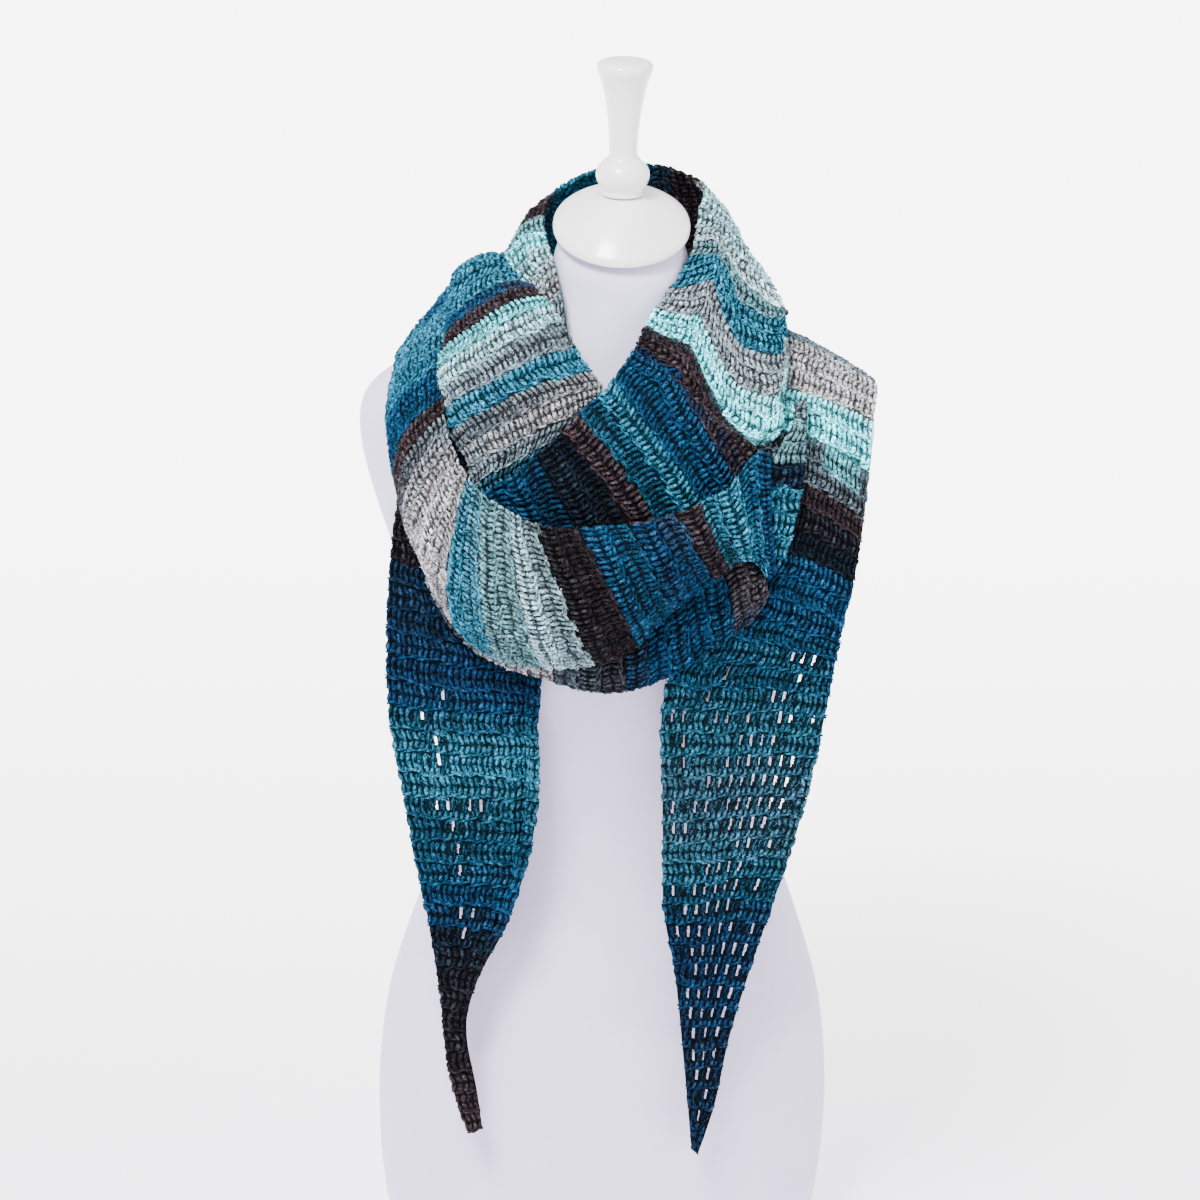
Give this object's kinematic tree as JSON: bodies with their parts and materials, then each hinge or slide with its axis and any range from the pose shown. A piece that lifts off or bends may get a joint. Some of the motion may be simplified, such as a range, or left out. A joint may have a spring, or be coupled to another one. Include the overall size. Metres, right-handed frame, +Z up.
{
  "type": "crocheted shawl on dress form",
  "caption": "Long three-cornered crocheted shawl in yarn of slowly changing colours, wound round the neck of a limbless dress form with its pointed ends hanging in front.",
  "frame": {"origin": "middle of the flat base of the dress form", "axes": "+Z up along the neck's axis, -Y the front of the form, +X to the viewer's right"},
  "size_m": [0.3878, 0.3066, 0.928],
  "materials": {
    "form_jersey": "smooth white cotton jersey over a padded torso",
    "painted_wood": "turned wood, painted satin white",
    "yarn_deep_blue": "crocheted thick marled wool yarn, from teal through blue to navy and brown",
    "yarn_pale": "crocheted thick marled wool yarn, stripes of pale grey, mint, teal and brown",
    "yarn_teal": "crocheted thick marled wool yarn, stripes of teal, mint, blue and brown",
    "yarn_brown": "crocheted thick marled wool yarn, charcoal brown to blue"
  },
  "bodies": {
    "root": {"form_torso": "form_jersey", "neck_cap": "painted_wood", "finial": "painted_wood", "tail_right": "yarn_deep_blue", "tail_left": "yarn_deep_blue", "collar": "yarn_pale", "left_panel": "yarn_pale", "back_wrap": "yarn_teal", "shoulder_fold": "yarn_teal", "crossing_band": "yarn_teal", "under_swag": "yarn_brown", "swag": "yarn_pale"}
  },
  "joints": []
}
